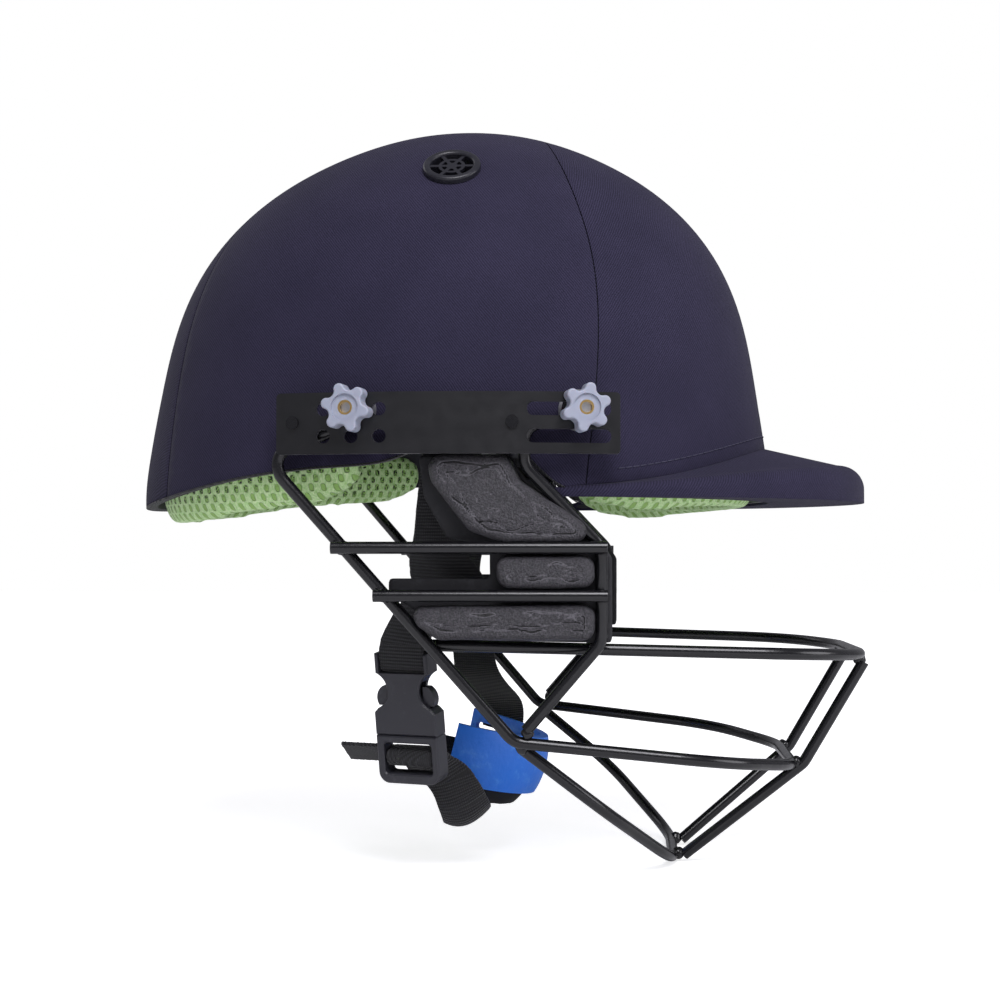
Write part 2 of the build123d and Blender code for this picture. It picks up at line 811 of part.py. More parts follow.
def loop_bar(shares, width_shares, start_half, bends):
    """A bar that runs forward along one side, across the front and back along the other."""
    right = []
    for place, ((x, z), width) in enumerate(zip(shares, width_shares)):
        half = start_half if place == 0 else width * grille_half_width
        right.append((x * grille_reach, -half, -z * grille_drop))
    left = [(x, -y, z) for x, y, z in reversed(right)]
    return wire(right + left, bends)


inside_strut = rod_diameter + joint_touch
top_start = side_half(-top_bar_shares[0][1] * grille_drop) - inside_strut
top_rod = loop_bar(top_bar_shares, top_bar_width_shares, top_start, [front_bend] * 4)
with BuildPart() as top_bar:
    add(top_rod)
    add(middle_rod, mode=Mode.SUBTRACT)
    add(front_strut.part, mode=Mode.SUBTRACT)
    mirror(front_strut.part, about=Plane.XZ, mode=Mode.SUBTRACT)
finish(top_bar.part, "grille_top_bar")

chin_start = side_half(-chin_bar_shares[0][1] * grille_drop) - inside_strut
chin_rod = loop_bar(chin_bar_shares, chin_bar_width_shares, chin_start, [front_bend] * 4)
with BuildPart() as chin_bar:
    add(chin_rod)
    add(middle_rod, mode=Mode.SUBTRACT)
finish(chin_bar.part, "grille_chin_bar")

stay_out = rod_diameter + joint_touch
stay_rows = (
    (top_bar_shares[-1], stay_top_width_share, stay_top_overlap_share),
    (None, stay_middle_width_share, 1.0),
    (chin_bar_shares[-1], stay_bottom_width_share, 1.0),
)
stay_points = []
for row, width, outward in stay_rows:
    x = middle_front[0] if row is None else row[0] * grille_reach
    z = middle_front[2] if row is None else -row[1] * grille_drop
    stay_points.append((x + outward * stay_out, -width * grille_half_width, z - (1 - outward) * stay_out))
with BuildPart() as front_stay:
    add(wire(stay_points, [stay_bend]))
    add(middle_rod, mode=Mode.SUBTRACT)
    add(top_rod, mode=Mode.SUBTRACT)
    add(chin_rod, mode=Mode.SUBTRACT)
finish(front_stay.part, "grille_front_stay_right")
finish(mirrored(front_stay.part), "grille_front_stay_left")


# Cheek foam
def side_plane(inward):
    """The plane of one side's rods, moved inward, with X forward and Y up along it."""
    tilt = Vector(0, -1, -side_draft_share).normalized()
    start = Vector(0, -side_half_width, 0) - tilt * inward
    return Plane(origin=start, x_dir=(1, 0, 0), z_dir=tilt)


def foam(shares, inward, thick, corner, round_off):
    """A cut foam piece whose face lies in the side plane, with its outer edge rounded."""
    points = [(x * grille_reach, -z * grille_drop) for x, z in shares]
    with BuildPart() as piece:
        with BuildSketch(side_plane(inward)) as outline:
            with BuildLine():
                Polyline(*points, close=True)
            make_face()
            fillet(outline.vertices(), corner)
        extrude(amount=thick)
        if round_off:
            outward = Axis((0, 0, 0), (0, -1, 0))
            fillet(piece.faces().sort_by(outward)[-1].edges(), round_off)
    return piece.part


sheet_face = rod_radius + fit_gap
with BuildPart() as cheek_sheet:
    add(foam(sheet_shares, sheet_face + sheet_foam, sheet_foam, sheet_corner, 0))
finish(cheek_sheet.part, "cheek_sheet_right")
finish(mirrored(cheek_sheet.part), "cheek_sheet_left")
for name, shares in (
    ("cheek_pad_upper", upper_pad_shares),
    ("cheek_pad_middle", middle_pad_shares),
    ("cheek_pad_lower", lower_pad_shares),
):
    pad = foam(shares, sheet_face - fit_gap, pad_foam, pad_corner, pad_round)
    finish(pad, f"{name}_right")
    finish(mirrored(pad), f"{name}_left")


# Chin strap
pivot_half = shell_half(pivot_x, pivot_z) - shell_wall - pivot_inset
pivot_right = Vector(pivot_x, -pivot_half, pivot_z)
buckle_middle = Vector(buckle_x, -buckle_half_width, buckle_z)
buckle_along = Vector(cos(radians(buckle_turn)), -sin(radians(buckle_turn)), 0)
buckle_up = pivot_right - buckle_middle
buckle_up = (buckle_up - buckle_along * buckle_along.dot(buckle_up)).normalized()
buckle_plane = Plane(origin=buckle_middle, x_dir=buckle_along, z_dir=buckle_along.cross(buckle_up))
# The same buckle seen from its side: X out of its face, Y up.
buckle_side = Plane(origin=buckle_middle, x_dir=buckle_plane.z_dir, z_dir=-buckle_along)


def in_buckle(along, up, out=0.0):
    """A point measured from the middle of the buckle's parting line."""
    return buckle_plane.from_local_coords(Vector(along, up, out))


def web_section(centre, along, run):
    """A cut through the webbing: its width lies along one direction, and it runs in another."""
    run = Vector(*run).normalized()
    along = Vector(*along)
    along = (along - run * along.dot(run)).normalized()
    with BuildSketch(Plane(origin=centre, x_dir=along, z_dir=run)) as section:
        Rectangle(web_width, web_thickness)
    return section.sketch


def web_ribbon(points, alongs, start_run, end_run):
    """A length of webbing through points in space, turning its width as it goes."""
    with BuildPart() as ribbon:
        with BuildLine():
            course = Spline(*points, tangents=(start_run, end_run))
        places = [course.param_at_point(point) for point in points]
        for cut in range(web_cuts + 1):
            place = cut / web_cuts
            stretch = sum(place > known for known in places[1:-1])
            share = (place - places[stretch]) / (places[stretch + 1] - places[stretch])
            along = Vector(*alongs[stretch]) * (1 - share) + Vector(*alongs[stretch + 1]) * share
            add(web_section(course @ place, along, course % place))
        loft()
    return ribbon.part


def web_fold(points, bend):
    """Webbing folded round a bar of the buckle, drawn in the buckle's side view."""
    with BuildPart() as fold:
        with BuildLine(buckle_side) as route:
            FilletPolyline(*points, radius=bend)
        add(web_section(route.wire() @ 0, buckle_along, route.wire() % 0))
        sweep()
    return fold.part


def web_tab(side):
    """The flat end of a strap, round where the rivet holds it."""
    with BuildPart() as tab:
        with BuildSketch(across(pivot_x, pivot_z, pivot_half - web_thickness / 2, side)):
            Circle(web_width / 2)
            with Locations((0, -web_width / 4)):
                Rectangle(web_width, web_width / 2)
            Circle(strap_rivet_diameter / 2 + running_gap, mode=Mode.SUBTRACT)
        extrude(amount=web_thickness)
    return tab.part


tab_end = Vector(pivot_x, -pivot_half, pivot_z - web_width / 2)
bar_level = socket_height - socket_bar_height
wrap = socket_bar / 2 + fit_gap + web_thickness / 2
fold_top = bar_level + web_fold_length
with BuildPart() as strap_web_right:
    add(web_tab(-1))
    add(web_ribbon(
        [tab_end, right_web_point, in_buckle(0, fold_top, wrap)],
        [(1, 0, 0), (1, 0, 0), buckle_along],
        Vector(*right_web_point) - tab_end, -buckle_up,
    ))
    add(web_fold(
        [(wrap, fold_top), (wrap, bar_level - wrap), (-wrap, bar_level - wrap),
         (-wrap, socket_height + wrap), (wrap - web_thickness, fold_top)],
        [wrap * web_bend_share, wrap * web_bend_share, wrap],
    ))
finish(strap_web_right.part, "strap_web_right")

cup_plane = Plane(origin=(cup_x, 0, cup_z)).rotated((0, cup_lean, 0))
cup_axis = Axis(cup_plane.origin, cup_plane.z_dir)


def cup_point(angle, radius, level):
    """A point of the cup: degrees from straight ahead, distance from its axis, and level."""
    across_x, across_y = radius * cos(radians(angle)), radius * sin(radians(angle))
    return cup_plane.from_local_coords(Vector(across_x, across_y, level))


def cup_tangent(angle):
    return (cup_point(angle + 1, cup_radius, 0) - cup_point(angle - 1, cup_radius, 0)).normalized()


def bulge(radius, level):
    """Distance from the cup's axis to a wall that bulges most at level zero."""
    bow = cup_bow - (cup_radius - radius)
    return radius - bow + sqrt(bow**2 - level**2)


def bowl(outer, thick, low, high, span):
    """A chin-shaped band: a bulging wall turned through part of a circle."""
    start = turned(cup_plane, -span / 2)
    section = Plane(origin=start.origin, x_dir=start.x_dir, z_dir=-start.y_dir)
    levels = (low, (low + high) / 2, high)
    outside = [(bulge(outer, level), level) for level in levels]
    inside = [(bulge(outer - thick, level), level) for level in reversed(levels)]
    with BuildPart() as body:
        with BuildSketch(section):
            with BuildLine():
                ThreePointArc(*outside)
                Line(outside[-1], inside[0])
                ThreePointArc(*inside)
                Line(inside[-1], outside[0])
            make_face()
        revolve(axis=cup_axis, revolution_arc=span)
    return body.part


slot_angle = cup_span / 2 - degrees((web_width / 2 + cup_slot_edge) / cup_radius)
slot_level = cup_height / 2 - cup_slot_inset
with BuildPart() as chin_cup:
    add(bowl(cup_radius, cup_wall, -cup_height / 2, cup_height / 2, cup_span))
    with BuildSketch(Plane(
        origin=cup_point(slot_angle, cup_radius, slot_level),
        x_dir=cup_tangent(slot_angle), z_dir=cup_tangent(slot_angle).cross(cup_plane.z_dir),
    )):
        RectangleRounded(web_width + 2 * fit_gap, cup_slot_width, cup_slot_width * slot_end_share)
    extrude(amount=2 * cup_wall, both=True, mode=Mode.SUBTRACT)
finish(chin_cup.part, "chin_cup")

pad_outer = cup_radius - cup_wall - fit_gap
with BuildPart() as chin_cup_pad:
    low = -cup_height / 2 - cup_pad_below
    high = cup_height / 2 - cup_slot_inset
    add(bowl(pad_outer, cup_pad_foam, low, high, cup_pad_span))
finish(chin_cup_pad.part, "chin_cup_pad")

left_end = cup_point(slot_angle, cup_radius + web_thickness / 2 + fit_gap, slot_level)
left_tab_end = Vector(pivot_x, pivot_half, pivot_z - web_width / 2)
with BuildPart() as strap_web_left:
    add(web_tab(1))
    add(web_ribbon(
        [left_tab_end, *left_web_points, left_end],
        [(1, 0, 0), (1, 0, 0), (1, 0, 0), (1, 0, 0), -cup_tangent(slot_angle)],
        Vector(*left_web_points[0]) - left_tab_end, -cup_plane.z_dir,
    ))
finish(strap_web_left.part, "strap_web_left")

web_clear = web_thickness / 2 + running_gap
with BuildPart() as rivet_one_side:
    with BuildSketch(across(pivot_x, pivot_z, pivot_half - web_clear)):
        Circle(strap_rivet_diameter / 2)
    extrude(amount=web_clear + pivot_inset)
    with BuildSketch(across(pivot_x, pivot_z, pivot_half + web_clear)):
        Circle(strap_rivet_head)
    extrude(amount=pivot_inset)
    add(dome(-shell_wall - fit_gap), mode=Mode.INTERSECT)
    with BuildSketch(across(pivot_x, pivot_z, pivot_half - web_clear)):
        Circle(strap_rivet_head)
    extrude(amount=-strap_rivet_head_height)
with BuildPart() as strap_rivets:
    add(rivet_one_side.part)
    mirror(rivet_one_side.part, about=Plane.XZ)
finish(strap_rivets.part, "strap_rivets")

# Side-release buckle
half_thick = buckle_thickness / 2
insert_depth = socket_cavity_depth - 2 * fit_gap
with BuildPart() as buckle_socket:
    with BuildSketch(buckle_plane.offset(-half_thick)):
        with BuildLine():
            Polyline((0, 0), (buckle_width / 2, 0), (buckle_width / 2, socket_grip))
            shoulder = Line(
                (buckle_width / 2, socket_grip), (buckle_width / 2 - socket_step, socket_grip + socket_step)
            )
            ThreePointArc(
                shoulder @ 1,
                (socket_waist / 2, socket_waist_height),
                (socket_ear_width / 2, socket_height - socket_ear_height),
            )
            Polyline(
                (socket_ear_width / 2, socket_height - socket_ear_height),
                (socket_ear_width / 2, socket_height), (0, socket_height), (0, 0),
            )
        make_face()
        mirror(about=Plane.YZ)
    extrude(amount=buckle_thickness)
    outward = Axis(buckle_middle, buckle_plane.z_dir)
    chamfer(buckle_socket.faces().sort_by(outward)[-1].edges(), buckle_chamfer)
    with BuildSketch(buckle_plane.offset(-socket_cavity_depth / 2)):
        Rectangle(socket_cavity_width, 2 * socket_cavity_height)
    extrude(amount=socket_cavity_depth, mode=Mode.SUBTRACT)
    with BuildSketch(buckle_plane.offset(-half_thick)):
        with Locations((0, socket_height)):
            Rectangle(web_width + 2 * fit_gap, 2 * socket_ear_height)
    extrude(amount=buckle_thickness, mode=Mode.SUBTRACT)
    with BuildSketch(buckle_plane.offset(-socket_bar / 2)):
        with Locations((0, socket_height - socket_bar_height / 2)):
            Rectangle(web_width + 2 * socket_step, socket_bar_height)
    extrude(amount=socket_bar)
finish(buckle_socket.part, "buckle_socket")

prong_x = prong_pivot_share * buckle_width / 2
plug_top = -fit_gap
plug_bar_level = plug_top - plug_rail - plug_window_height / 2
with BuildPart() as buckle_plug:
    with BuildSketch(buckle_plane.offset(-half_thick)) as frame:
        with Locations((0, plug_top - plug_height / 2)):
            Rectangle(buckle_width, plug_height)
        fillet(frame.vertices().group_by(Axis.Y)[0], plug_corner)
        with Locations((0, plug_bar_level)):
            RectangleRounded(plug_window_width, plug_window_height, plug_window_corner, mode=Mode.SUBTRACT)
    extrude(amount=buckle_thickness)
    chamfer(buckle_plug.faces().sort_by(Axis(buckle_middle, buckle_plane.z_dir))[-1].edges(), buckle_chamfer)
    with BuildSketch(Plane(origin=in_buckle(-plug_window_width / 2, plug_bar_level), z_dir=buckle_along)):
        Circle(plug_bar / 2)
    extrude(amount=plug_window_width)
    with BuildSketch(buckle_plane.offset(-insert_depth / 2)):
        with Locations((0, plug_top + tongue_height / 2)):
            Rectangle(tongue_width, tongue_height)
        with Locations((0, plug_top + lug_height / 2 - plug_rail / 2)):
            Rectangle(2 * (prong_x + prong_boss), lug_height + plug_rail)
    extrude(amount=insert_depth)
    with BuildSketch(buckle_plane.offset(-insert_depth / 2 - running_gap)):
        for side in (-1, 1):
            with Locations((side * prong_x, prong_pivot_height)):
                Circle(prong_boss + running_gap)
            with Locations((side * (prong_x + prong_boss), prong_pivot_height + prong_boss)):
                Rectangle(2 * prong_boss, 2 * prong_boss)
    extrude(amount=insert_depth + 2 * running_gap, mode=Mode.SUBTRACT)
finish(buckle_plug.part, "buckle_plug")

stem_out = prong_x + prong_stem / 2
stem_in = prong_x - prong_stem / 2
with BuildPart() as prong_front:
    with BuildSketch(buckle_plane.offset(-insert_depth / 2)):
        with BuildLine():
            Polyline((stem_in, prong_pivot_height), (stem_in, prong_height), (stem_out, prong_height))
            ThreePointArc(
                (stem_out, prong_height), (prong_bulge, prong_bulge_level), (prong_catch, prong_catch_level)
            )
            Polyline(
                (prong_catch, prong_catch_level), (stem_out, prong_catch_level),
                (stem_out, prong_pivot_height), (stem_in, prong_pivot_height),
            )
        make_face()
        with Locations((prong_x, prong_pivot_height)):
            Circle(prong_boss)
    extrude(amount=insert_depth)
finish(prong_front.part, "prong_front")
with BuildPart() as prong_rear:
    mirror(prong_front.part, about=Plane(origin=buckle_middle, z_dir=buckle_along))
finish(prong_rear.part, "prong_rear")

# Webbing from the buckle into the cup, with its loose tail
plug_wrap = plug_bar / 2 + fit_gap + web_thickness / 2
over_bar = plug_bar_level + plug_wrap
under_bar = plug_bar_level - plug_wrap
behind = -half_thick - fit_gap - web_thickness / 2
tail_start = in_buckle(0, over_bar - tail_drop, behind - tail_depth)
tail_end = in_buckle(0, over_bar, behind)
cup_web_radius = bulge(cup_radius - cup_wall, cup_height / 2) - fit_gap - web_thickness / 2
with BuildPart() as strap_tail:
    add(web_fold(
        [(behind - tail_depth, over_bar - tail_drop), (behind, over_bar), (plug_wrap, over_bar),
         (plug_wrap, under_bar), (behind, under_bar)],
        [web_thickness, plug_wrap * web_bend_share, plug_wrap * web_bend_share],
    ))
    tail_run = tail_end - tail_start
    with BuildSketch(Plane(origin=tail_start, x_dir=buckle_along, z_dir=buckle_along.cross(tail_run))):
        with BuildLine():
            Polyline(
                (-web_width / 2, 0), (-tail_length, 0), (-tail_length + tail_cut, tail_run.length),
                (-web_width / 2, tail_run.length), close=True,
            )
        make_face()
    extrude(amount=web_thickness / 2, both=True)
finish(strap_tail.part, "strap_tail")

into_cup = [
    cup_point(cup_web_angle, cup_web_radius, -cup_height / 2 - cup_web_below),
    cup_point(cup_web_angle, cup_web_radius, cup_web_above),
]
chin_web = web_ribbon(
    [in_buckle(0, under_bar - loop_start_drop, behind - loop_start_gap), *loop_points, *into_cup],
    [buckle_along, *loop_widths, cup_tangent(cup_web_angle), cup_tangent(cup_web_angle)],
    -buckle_plane.z_dir - buckle_up * loop_start_slope, cup_plane.z_dir,
)
finish(chin_web, "chin_web")
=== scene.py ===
# %% [markdown]
# # A cricket helmet
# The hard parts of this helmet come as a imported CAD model, and this script dresses them.
# Cloth, foam and webbing get their own meshes here, because a real one is soft at its edges,
# and every surface gets a finish built from nodes, at the size it has on the real object.
# All lengths are in metres and every piece already lies where the CAD says.

# %% Load the frame
import bpy
import bmesh
import json
from math import atan2, cos, pi, radians, sin
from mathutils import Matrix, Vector, noise
from mathutils.bvhtree import BVHTree
from mathutils.kdtree import KDTree

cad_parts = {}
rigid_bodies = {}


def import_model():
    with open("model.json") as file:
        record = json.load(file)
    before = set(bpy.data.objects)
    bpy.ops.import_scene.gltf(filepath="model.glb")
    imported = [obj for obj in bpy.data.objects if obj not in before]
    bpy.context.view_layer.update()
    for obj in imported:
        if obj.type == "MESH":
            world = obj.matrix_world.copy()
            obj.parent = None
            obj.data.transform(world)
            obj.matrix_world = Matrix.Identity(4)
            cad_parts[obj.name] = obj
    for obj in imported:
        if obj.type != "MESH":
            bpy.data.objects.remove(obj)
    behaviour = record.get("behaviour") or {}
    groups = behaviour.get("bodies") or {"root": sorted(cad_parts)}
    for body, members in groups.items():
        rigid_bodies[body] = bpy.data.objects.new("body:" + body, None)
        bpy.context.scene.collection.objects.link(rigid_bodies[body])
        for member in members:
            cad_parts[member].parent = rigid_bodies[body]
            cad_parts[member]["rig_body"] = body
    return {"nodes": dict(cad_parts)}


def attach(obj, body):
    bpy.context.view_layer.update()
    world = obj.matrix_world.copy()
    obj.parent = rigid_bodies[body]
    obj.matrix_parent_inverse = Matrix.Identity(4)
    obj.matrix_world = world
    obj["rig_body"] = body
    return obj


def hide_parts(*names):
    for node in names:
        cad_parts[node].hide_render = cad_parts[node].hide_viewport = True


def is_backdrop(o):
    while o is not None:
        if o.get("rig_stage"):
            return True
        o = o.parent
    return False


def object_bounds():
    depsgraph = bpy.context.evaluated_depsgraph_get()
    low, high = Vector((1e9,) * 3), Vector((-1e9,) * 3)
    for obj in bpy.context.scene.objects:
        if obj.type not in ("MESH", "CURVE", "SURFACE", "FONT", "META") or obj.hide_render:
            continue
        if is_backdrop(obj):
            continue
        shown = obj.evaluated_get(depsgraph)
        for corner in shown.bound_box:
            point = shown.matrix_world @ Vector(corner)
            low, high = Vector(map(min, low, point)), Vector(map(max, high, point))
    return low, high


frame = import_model()
cad_low, cad_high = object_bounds()
nodes = frame["nodes"]
mm = 0.001
print("CAD nodes:", len(nodes), "size in mm:", [round(v / mm) for v in cad_high - cad_low])

# %% [markdown]
# ## The camera
# A product picture of a helmet is taken from the wearer's right, a little below the rim, so
# that the underside of the peak and the lining show. The distance and the lens were worked
# out from the near and far wires of the face guard, which lie 0.2 m apart. The camera looks
# slightly up and is turned a little towards the rear.


# %% Camera
def new_object(name, data):
    """An object made of data, linked to the scene."""
    made = bpy.data.objects.new(name, data)
    bpy.context.scene.collection.objects.link(made)
    return made


camera = new_object("photo_camera", bpy.data.cameras.new("photo_camera"))
camera.location = (0.0765, -0.796, -0.0314)
looks_up, turned_left, field_of_view = 1.85, 4.16, 30.68
camera.rotation_euler = (radians(90 + looks_up), 0, radians(turned_left))
camera.data.angle = radians(field_of_view)
bpy.context.scene.camera = camera
bpy.context.scene.view_settings.view_transform = "Standard"
print("camera at", tuple(camera.location))

# %% [markdown]
# ## Shader maths in plain Python
# A finish is a small network of nodes. Wiring them by hand is hard to read, so one class
# wraps an output socket: writing `1 - mask * 0.5` adds the Math nodes for it. Colours and
# directions go through Mix and Vector Math instead, because Math would turn them grey.


# %% The socket wrapper
def plug(socket, value):
    """Gives an input socket a link or a plain value."""
    if isinstance(value, Signal):
        socket.id_data.links.new(value.socket, socket)
    elif socket.type == "RGBA":
        socket.default_value = (*value[:3], 1)
    else:
        socket.default_value = value


class Signal:
    """One output of a finish's nodes, which can be used in sums."""

    def __init__(self, socket):
        self.socket = socket

    def node(self, kind, settings=None, inputs=None, output=0):
        """Adds a node: first its settings, then the values or links of its inputs."""
        made = self.socket.id_data.nodes.new("ShaderNode" + kind)
        for name, value in (settings or {}).items():
            setattr(made, name, value)
        for key, value in (inputs or {}).items():
            plug(made.inputs[key], value)
        return Signal(made.outputs[output])

    def math(self, operation, first, second=0.0):
        return self.node("Math", {"operation": operation}, {0: first, 1: second})

    def __add__(self, other):
        return self.math("ADD", self, other)

    def __sub__(self, other):
        return self.math("SUBTRACT", self, other)

    def __rsub__(self, other):
        return self.math("SUBTRACT", other, self)

    def __mul__(self, other):
        return self.math("MULTIPLY", self, other)

    __radd__ = __add__
    __rmul__ = __mul__

    def sine(self):
        return self.math("SINE", self)

    def cosine(self):
        return self.math("COSINE", self)

    def between(self, low, high):
        """This value as a smooth share from 0 at low to 1 at high."""
        return self.node("MapRange", {"interpolation_type": "SMOOTHSTEP"},
                         {0: self, 1: low, 2: high})

    def colours(self, first, second):
        """A colour that goes from first to second as this share goes from 0 to 1."""
        return self.node("Mix", {"data_type": "RGBA"}, {0: self, 6: first, 7: second}, 2)

    def wave(self, pitch):
        """A wave from 0 to 1 that repeats every pitch millimetres of this distance."""
        return (self * (2 * pi / pitch)).sine() * 0.5 + 0.5

    def along(self, direction):
        """How far this point lies along a direction."""
        return self.node("VectorMath", {"operation": "DOT_PRODUCT"}, {0: self, 1: direction}, 1)

    def stretched(self, factors):
        """This point with its x, y and z each scaled, which draws out any grain built on it."""
        return self.node("VectorMath", {"operation": "MULTIPLY"}, {0: self, 1: factors})

    def axis(self, number):
        """The x, y or z of this point or direction, by its number from 0."""
        return self.node("SeparateXYZ", None, {0: self}, number)

    def stored(self, attribute):
        """The number that the mesh stores for each of its points under this name."""
        return self.node("Attribute", {"attribute_name": attribute}, None, 2)

    def grain(self, size, detail=2.0, roughness=0.5):
        """Soft noise whose lumps are about size millimetres across, from 0 to 1."""
        return self.node("TexNoise", None, {
            "Vector": self, "Scale": 1 / size, "Detail": detail, "Roughness": roughness})

    def relief(self, depth):
        """This height, from 0 to 1, as a bump of depth millimetres."""
        return self.node("Bump", None, {"Height": self, "Distance": depth * mm, "Strength": 1.0})


class Finish:
    """A material with its shader. place is the point on the object in millimetres, and facing
    is the way that its surface faces there."""

    def __init__(self, name, **constants):
        self.material = bpy.data.materials.new(name)
        self.material.use_nodes = True
        tree = self.material.node_tree
        self.shader = tree.nodes["Principled BSDF"]
        coordinates = tree.nodes.new("ShaderNodeTexCoord")
        self.facing = Signal(coordinates.outputs["Normal"])
        place = Signal(coordinates.outputs["Object"])
        self.place = place.node("VectorMath", {"operation": "SCALE"}, {0: place, "Scale": 1 / mm})
        self.set(**constants)

    def set(self, **values):
        for name, value in values.items():
            plug(self.shader.inputs[name.replace("_", " ").title().replace("Ior", "IOR")], value)


print("socket wrapper ready")

# %% [markdown]
# ## Navy twill
# The shell is covered in four panels of navy twill, and the peak in a fifth. Twill is a weave
# with slanting ridges under a millimetre apart. A picture of cloth could be wrapped round the
# dome, but a wave through space needs no unwrapping. The panels get different directions,
# so that the ridges slant on each one and don't lie along the way it faces.


# %% Navy twill
ridge_pitch, ridge_wander = 0.85, 0.9


def twill(name, direction):
    finish = Finish(name, Roughness=0.88, specular_ior_level=0.2, sheen_weight=0.04,
                    sheen_roughness=0.4)
    place = finish.place
    across = place.along(tuple(Vector(direction).normalized()))
    ridge = (across + place.grain(5.0) * ridge_wander).wave(ridge_pitch)
    knots = place.grain(0.5, 2.0, 0.7)
    height = ridge * 0.38 + knots * 0.62
    tone = height.between(0.2, 0.8).colours((0.013, 0.0115, 0.027), (0.036, 0.0315, 0.068))
    cloudy = place.grain(28.0, 3.0).between(0.3, 0.75)
    shade = cloudy.colours((0.9, 0.9, 0.9), (1.07, 1.06, 1.04))
    tone = tone.node("Mix", {"data_type": "RGBA", "blend_type": "MULTIPLY"},
                     {0: 1.0, 6: tone, 7: shade}, 2)
    finish.set(base_color=tone, normal=height.relief(0.16))
    return finish.material


side_twill = twill("navy_twill_side", (1.0, 0.0, 0.8))
front_twill = twill("navy_twill_front", (0.8, 0.6, -0.8))
rear_twill = twill("navy_twill_rear", (0.6, 0.6, 0.6))
peak_twill = twill("navy_twill_peak", (0.8, 0.6, -0.8))

# %% [markdown]
# ## Plastics, rubber and foam
# Moulded plastic is never quite flat: it has a fine grain from the mould, slightly uneven
# gloss, and scuffs. One recipe with a few sizes makes all of these; each piece then has its
# own colour, gloss and grain.


# %% Moulded finishes
def moulded(name, colour, worn, gloss, grain_size, grain_depth, **more):
    finish = Finish(name, **more)
    place = finish.place
    scuffs = place.grain(6.0, 6.0, 0.7).between(0.52, 0.8)
    tone = scuffs.colours(colour, worn)
    rough = place.grain(9.0, 3.0) * 0.16 + (gloss - 0.08)
    bumps = place.grain(grain_size, 2.0).relief(grain_depth)
    finish.set(base_color=tone, roughness=rough, normal=bumps)
    return finish.material


shell_plastic = moulded("shell_plastic", (0.02, 0.02, 0.03), (0.03, 0.03, 0.04), 0.3, 8.0, 0.05)
vent_plastic = moulded("vent_plastic", (0.012, 0.012, 0.018), (0.03, 0.03, 0.04), 0.36, 0.8, 0.02)
knob_nylon = moulded("knob_nylon", (0.36, 0.385, 0.475), (0.46, 0.48, 0.56), 0.46, 0.9, 0.02,
                     subsurface_weight=0.08, subsurface_scale=0.002)
washer_nylon = moulded("washer_nylon", (0.2, 0.2, 0.22), (0.3, 0.3, 0.33), 0.5, 0.9, 0.02)
buckle_acetal = moulded("buckle_acetal", (0.028, 0.028, 0.036), (0.06, 0.06, 0.072),
                        0.42, 0.35, 0.02)
cup_rubber = moulded("cup_rubber", (0.022, 0.2, 0.86), (0.09, 0.36, 0.95), 0.44, 2.2, 0.25)
liner_foam = moulded("liner_foam", (0.012, 0.012, 0.013), (0.03, 0.03, 0.032), 0.9, 1.4, 0.25)
sheet_foam = moulded("sheet_foam", (0.014, 0.014, 0.017), (0.035, 0.034, 0.04), 0.72, 0.7, 0.09)
cup_foam = moulded("cup_foam", (0.006, 0.006, 0.007), (0.012, 0.012, 0.014), 0.88, 0.6, 0.08)

# %% [markdown]
# ## Metal
# The side plates are steel with a satin black coat. Along the cut edges and holes it is lighter
# and metallic: partly worn coat, partly a painted highlight. The wires have the same coat, thicker
# and glossier. Which faces are cut edges is read from the way they face: the plate's broad sides
# face sideways and its edges don't. The screws and the brass threads are bare, with fine lines from
# turning.


# %% Metal finishes
def black_coat(name, gloss, bright_edges):
    finish = Finish(name, specular_ior_level=0.6)
    place = finish.place
    scratch = place.stretched((0.25, 1.0, 2.2)).grain(0.9, 5.0, 0.75).between(0.62, 0.8)
    tone = (scratch * 0.5).colours((0.005, 0.005, 0.0065), (0.06, 0.06, 0.07))
    metal = scratch * 0.2
    if bright_edges:
        sideways = finish.facing.axis(1)
        edge = (1 - sideways.math("ABSOLUTE", sideways)).between(0.25, 0.6)
        # Cut edges and holes get a lighter, metallic colour: partly worn coat, partly painted
        # highlight.
        worn_lit_edge = edge * place.grain(5.0, 4.0, 0.7).between(0.28, 0.55)
        tone = worn_lit_edge.colours(tone, (0.3, 0.3, 0.33))
        metal = worn_lit_edge * 0.85
    rough = place.grain(5.0, 4.0) * 0.2 + (gloss - 0.1)
    bumps = place.grain(1.6, 3.0).relief(0.03)
    finish.set(base_color=tone, metallic=metal, roughness=rough, normal=bumps)
    return finish.material


def bare_metal(name, dark, light, gloss):
    finish = Finish(name, Metallic=1.0)
    lines = finish.place.stretched((3.0, 0.4, 3.0)).grain(0.6, 3.0)
    finish.set(base_color=lines.colours(dark, light), roughness=lines * 0.2 + gloss,
               normal=lines.relief(0.02))
    return finish.material


plate_coat = black_coat("plate_coat", 0.36, True)
wire_coat = black_coat("wire_coat", 0.22, False)
rivet_coat = black_coat("rivet_coat", 0.2, False)
zinc_steel = bare_metal("zinc_steel", (0.42, 0.42, 0.44), (0.7, 0.7, 0.72), 0.25)
turned_brass = bare_metal("turned_brass", (0.55, 0.34, 0.1), (0.85, 0.6, 0.25), 0.22)

# %% [markdown]
# ## Green spacer mesh
# The pads that touch the head are foam under a knitted mesh with open, staggered holes. Two
# crossed cosines make just that pattern: their product has its peaks in staggered rows. On
# the pads around the head the rows follow the angle round it, and on the crown pad they run
# straight across. From a little below the rim upwards the holes get painted shade, broken into
# dots, for the shade under the shell; further down they are pale. The rim rises towards the ears.


# %% Spacer mesh
hole_pitch_across, hole_pitch_up, head_radius = 5.6, 7.0, 122.0


